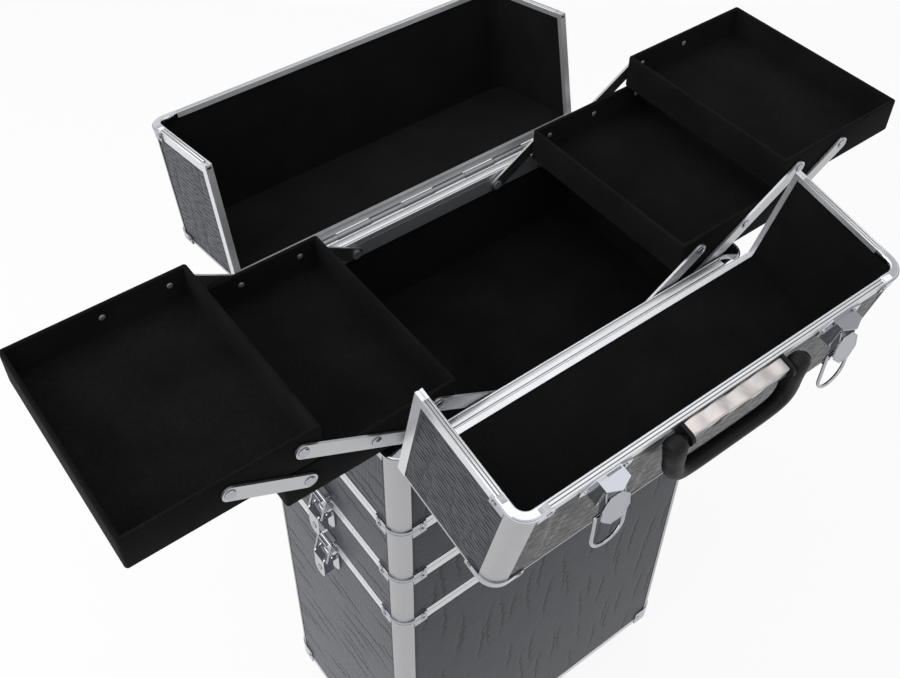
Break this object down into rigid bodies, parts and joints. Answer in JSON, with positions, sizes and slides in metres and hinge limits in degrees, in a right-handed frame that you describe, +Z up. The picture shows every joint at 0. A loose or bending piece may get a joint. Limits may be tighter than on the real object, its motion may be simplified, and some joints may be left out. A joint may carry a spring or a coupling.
{
  "type": "rolling makeup case",
  "caption": "Wheeled makeup case with stacked boxes, fold-back half lids and trays that swing out on parallel arms, faced in grey crocodile laminate with an aluminium frame.",
  "frame": {"origin": "on the floor, below the middle of the case", "axes": "+X along the case to the right as seen from the front, -Y to the front where the carry handle is, +Z up"},
  "size_m": [0.739, 0.5017, 0.7561],
  "materials": {
    "crocodile_panel": "board faced with a dark grey laminate, embossed in a crocodile pattern",
    "flocked_lining": "black flock",
    "flocked_tray": "thin board covered with black flock",
    "satin_aluminium": "satin anodised",
    "bright_aluminium": "bright anodised",
    "arm_aluminium": "satin rolled",
    "chrome": "polished plating on steel",
    "dark_steel": "dark zinc plated",
    "silver_plate": "polished, under a crinkled clear film",
    "black_plastic": "fine moulded grain",
    "wheel_rubber": "matt"
  },
  "bodies": {
    "case": {"trunk_boards": "crocodile_panel", "middle_box_boards": "crocodile_panel", "top_case_boards": "crocodile_panel", "top_case_lining": "flocked_lining", "corner_posts": "satin_aluminium", "edge_rims": "bright_aluminium", "corner_caps": "chrome", "tray_rails": "dark_steel", "side_latch_bases": "chrome", "side_keepers": "chrome", "hinge_leaves": "dark_steel", "wheel_forks": "dark_steel", "front_feet": "black_plastic", "pull_sleeves": "dark_steel"},
    "front_lid": {"front_lid_boards": "crocodile_panel", "front_lid_lining": "flocked_lining", "front_lid_frame": "satin_aluminium", "front_lid_rim": "bright_aluminium", "front_lid_fittings": "chrome", "front_hinge_leaf": "dark_steel", "handle_plate": "silver_plate", "handle_brackets": "black_plastic"},
    "rear_lid": {"rear_lid_boards": "crocodile_panel", "rear_lid_lining": "flocked_lining", "rear_lid_frame": "satin_aluminium", "rear_lid_rim": "bright_aluminium", "rear_lid_fittings": "chrome", "rear_hinge_leaf": "dark_steel"},
    "carry_grip": {"carry_grip": "black_plastic"},
    "pull_handle": {"pull_tubes": "bright_aluminium", "pull_grip": "black_plastic"},
    "top_latch_lever_left": {"top_latch_lever_left": "chrome"},
    "top_latch_bail_left": {"top_latch_bail_left": "chrome"},
    "top_latch_lever_right": {"top_latch_lever_right": "chrome"},
    "top_latch_bail_right": {"top_latch_bail_right": "chrome"},
    "wheel_left": {"wheel_left": "wheel_rubber"},
    "wheel_right": {"wheel_right": "wheel_rubber"},
    "long_arms_left": {"long_arms_left": "arm_aluminium"},
    "short_arms_left": {"short_arms_left": "arm_aluminium"},
    "lower_tray_left": {"lower_tray_left": "flocked_tray"},
    "upper_tray_left": {"upper_tray_left": "flocked_tray"},
    "tray_links_left": {"tray_links_left": "arm_aluminium"},
    "long_arms_right": {"long_arms_right": "arm_aluminium"},
    "short_arms_right": {"short_arms_right": "arm_aluminium"},
    "lower_tray_right": {"lower_tray_right": "flocked_tray"},
    "upper_tray_right": {"upper_tray_right": "flocked_tray"},
    "tray_links_right": {"tray_links_right": "arm_aluminium"},
    "side_lever_left_1": {"side_lever_left_1": "chrome"},
    "side_loop_left_1": {"side_loop_left_1": "chrome"},
    "side_lever_left_2": {"side_lever_left_2": "chrome"},
    "side_loop_left_2": {"side_loop_left_2": "chrome"},
    "side_lever_left_3": {"side_lever_left_3": "chrome"},
    "side_loop_left_3": {"side_loop_left_3": "chrome"},
    "side_lever_right_1": {"side_lever_right_1": "chrome"},
    "side_loop_right_1": {"side_loop_right_1": "chrome"},
    "side_lever_right_2": {"side_lever_right_2": "chrome"},
    "side_loop_right_2": {"side_loop_right_2": "chrome"},
    "side_lever_right_3": {"side_lever_right_3": "chrome"},
    "side_loop_right_3": {"side_loop_right_3": "chrome"}
  },
  "joints": [
    {"name": "front_lid_hinge", "type": "hinge", "parent": "case", "child": "front_lid", "pos_m": [0, -0.1118, 0.647], "axis": [-1, 0, 0], "range_deg": [0, 30]},
    {"name": "rear_lid_hinge", "type": "hinge", "parent": "case", "child": "rear_lid", "pos_m": [0, 0.1118, 0.647], "axis": [1, 0, 0], "range_deg": [0, 30]},
    {"name": "carry_grip_hinge", "type": "hinge", "parent": "front_lid", "child": "carry_grip", "pos_m": [0, -0.24674, 0.72392], "axis": [-1, 0, 0], "range_deg": [-10, 85]},
    {"name": "top_latch_lever_left_hinge", "type": "hinge", "parent": "front_lid", "child": "top_latch_lever_left", "pos_m": [-0.11, -0.2437, 0.72406], "axis": [-1, 0, 0], "range_deg": [-17, 60]},
    {"name": "top_latch_bail_left_hinge", "type": "hinge", "parent": "top_latch_lever_left", "child": "top_latch_bail_left", "pos_m": [-0.11, -0.24677, 0.70227], "axis": [-1, 0, 0], "range_deg": [-2, 90]},
    {"name": "top_latch_lever_right_hinge", "type": "hinge", "parent": "front_lid", "child": "top_latch_lever_right", "pos_m": [0.11, -0.2437, 0.72406], "axis": [-1, 0, 0], "range_deg": [-17, 60]},
    {"name": "top_latch_bail_right_hinge", "type": "hinge", "parent": "top_latch_lever_right", "child": "top_latch_bail_right", "pos_m": [0.11, -0.24677, 0.70227], "axis": [-1, 0, 0], "range_deg": [-2, 90]},
    {"name": "wheel_left_axle", "type": "hinge", "parent": "case", "child": "wheel_left", "pos_m": [-0.135, 0.072, 0.02], "axis": [1, 0, 0], "continuous": true},
    {"name": "wheel_right_axle", "type": "hinge", "parent": "case", "child": "wheel_right", "pos_m": [0.135, 0.072, 0.02], "axis": [1, 0, 0], "continuous": true},
    {"name": "pull_handle_slide", "type": "slide", "parent": "case", "child": "pull_handle", "axis": [0, 0, 1], "range_m": [0, 0.18]},
    {"name": "long_arms_left_hinge", "type": "hinge", "parent": "case", "child": "long_arms_left", "pos_m": [-0.13032, 0, 0.635], "axis": [0, 1, 0], "range_deg": [0, 118]},
    {"name": "short_arms_left_hinge", "type": "hinge", "parent": "case", "child": "short_arms_left", "pos_m": [-0.07632, 0, 0.635], "axis": [0, 1, 0], "range_deg": [0, 118]},
    {"name": "lower_tray_left_hinge", "type": "hinge", "parent": "long_arms_left", "child": "lower_tray_left", "pos_m": [-0.18603, 0, 0.66848], "axis": [0, 1, 0], "range_deg": [-118, 0]},
    {"name": "upper_tray_left_hinge", "type": "hinge", "parent": "long_arms_left", "child": "upper_tray_left", "pos_m": [-0.24175, 0, 0.70195], "axis": [0, 1, 0], "range_deg": [-118, 0]},
    {"name": "tray_links_left_hinge", "type": "hinge", "parent": "lower_tray_left", "child": "tray_links_left", "pos_m": [-0.24003, 0, 0.66848], "axis": [0, 1, 0], "range_deg": [0, 118]},
    {"name": "long_arms_right_hinge", "type": "hinge", "parent": "case", "child": "long_arms_right", "pos_m": [0.13032, 0, 0.635], "axis": [0, -1, 0], "range_deg": [0, 118]},
    {"name": "short_arms_right_hinge", "type": "hinge", "parent": "case", "child": "short_arms_right", "pos_m": [0.07632, 0, 0.635], "axis": [0, -1, 0], "range_deg": [0, 118]},
    {"name": "lower_tray_right_hinge", "type": "hinge", "parent": "long_arms_right", "child": "lower_tray_right", "pos_m": [0.18603, 0, 0.66848], "axis": [0, -1, 0], "range_deg": [-118, 0]},
    {"name": "upper_tray_right_hinge", "type": "hinge", "parent": "long_arms_right", "child": "upper_tray_right", "pos_m": [0.24175, 0, 0.70195], "axis": [0, -1, 0], "range_deg": [-118, 0]},
    {"name": "tray_links_right_hinge", "type": "hinge", "parent": "lower_tray_right", "child": "tray_links_right", "pos_m": [0.24003, 0, 0.66848], "axis": [0, -1, 0], "range_deg": [0, 118]},
    {"name": "side_lever_left_1_hinge", "type": "hinge", "parent": "case", "child": "side_lever_left_1", "pos_m": [-0.185, 0, 0.396], "axis": [0, 1, 0], "range_deg": [0, 75]},
    {"name": "side_loop_left_1_hinge", "type": "hinge", "parent": "side_lever_left_1", "child": "side_loop_left_1", "pos_m": [-0.192, 0, 0.396], "axis": [0, 1, 0], "range_deg": [-82.5, 0]},
    {"name": "side_lever_left_2_hinge", "type": "hinge", "parent": "case", "child": "side_lever_left_2", "pos_m": [-0.185, 0, 0.466], "axis": [0, 1, 0], "range_deg": [0, 75]},
    {"name": "side_loop_left_2_hinge", "type": "hinge", "parent": "side_lever_left_2", "child": "side_loop_left_2", "pos_m": [-0.192, 0, 0.466], "axis": [0, 1, 0], "range_deg": [-82.5, 0]},
    {"name": "side_lever_left_3_hinge", "type": "hinge", "parent": "case", "child": "side_lever_left_3", "pos_m": [-0.185, 0, 0.536], "axis": [0, 1, 0], "range_deg": [0, 75]},
    {"name": "side_loop_left_3_hinge", "type": "hinge", "parent": "side_lever_left_3", "child": "side_loop_left_3", "pos_m": [-0.192, 0, 0.536], "axis": [0, 1, 0], "range_deg": [-82.5, 0]},
    {"name": "side_lever_right_1_hinge", "type": "hinge", "parent": "case", "child": "side_lever_right_1", "pos_m": [0.185, 0, 0.396], "axis": [0, -1, 0], "range_deg": [0, 75]},
    {"name": "side_loop_right_1_hinge", "type": "hinge", "parent": "side_lever_right_1", "child": "side_loop_right_1", "pos_m": [0.192, 0, 0.396], "axis": [0, -1, 0], "range_deg": [-82.5, 0]},
    {"name": "side_lever_right_2_hinge", "type": "hinge", "parent": "case", "child": "side_lever_right_2", "pos_m": [0.185, 0, 0.466], "axis": [0, -1, 0], "range_deg": [0, 75]},
    {"name": "side_loop_right_2_hinge", "type": "hinge", "parent": "side_lever_right_2", "child": "side_loop_right_2", "pos_m": [0.192, 0, 0.466], "axis": [0, -1, 0], "range_deg": [-82.5, 0]},
    {"name": "side_lever_right_3_hinge", "type": "hinge", "parent": "case", "child": "side_lever_right_3", "pos_m": [0.185, 0, 0.536], "axis": [0, -1, 0], "range_deg": [0, 75]},
    {"name": "side_loop_right_3_hinge", "type": "hinge", "parent": "side_lever_right_3", "child": "side_loop_right_3", "pos_m": [0.192, 0, 0.536], "axis": [0, -1, 0], "range_deg": [-82.5, 0]}
  ],
  "couplings": [
    {"joint": "short_arms_left_hinge", "follows": "long_arms_left_hinge", "ratio": 1},
    {"joint": "lower_tray_left_hinge", "follows": "long_arms_left_hinge", "ratio": -1},
    {"joint": "upper_tray_left_hinge", "follows": "long_arms_left_hinge", "ratio": -1},
    {"joint": "tray_links_left_hinge", "follows": "long_arms_left_hinge", "ratio": 1},
    {"joint": "short_arms_right_hinge", "follows": "long_arms_right_hinge", "ratio": 1},
    {"joint": "lower_tray_right_hinge", "follows": "long_arms_right_hinge", "ratio": -1},
    {"joint": "upper_tray_right_hinge", "follows": "long_arms_right_hinge", "ratio": -1},
    {"joint": "tray_links_right_hinge", "follows": "long_arms_right_hinge", "ratio": 1},
    {"joint": "side_loop_left_1_hinge", "follows": "side_lever_left_1_hinge", "ratio": -1.1},
    {"joint": "side_loop_left_2_hinge", "follows": "side_lever_left_2_hinge", "ratio": -1.1},
    {"joint": "side_loop_left_3_hinge", "follows": "side_lever_left_3_hinge", "ratio": -1.1},
    {"joint": "side_loop_right_1_hinge", "follows": "side_lever_right_1_hinge", "ratio": -1.1},
    {"joint": "side_loop_right_2_hinge", "follows": "side_lever_right_2_hinge", "ratio": -1.1},
    {"joint": "side_loop_right_3_hinge", "follows": "side_lever_right_3_hinge", "ratio": -1.1}
  ]
}
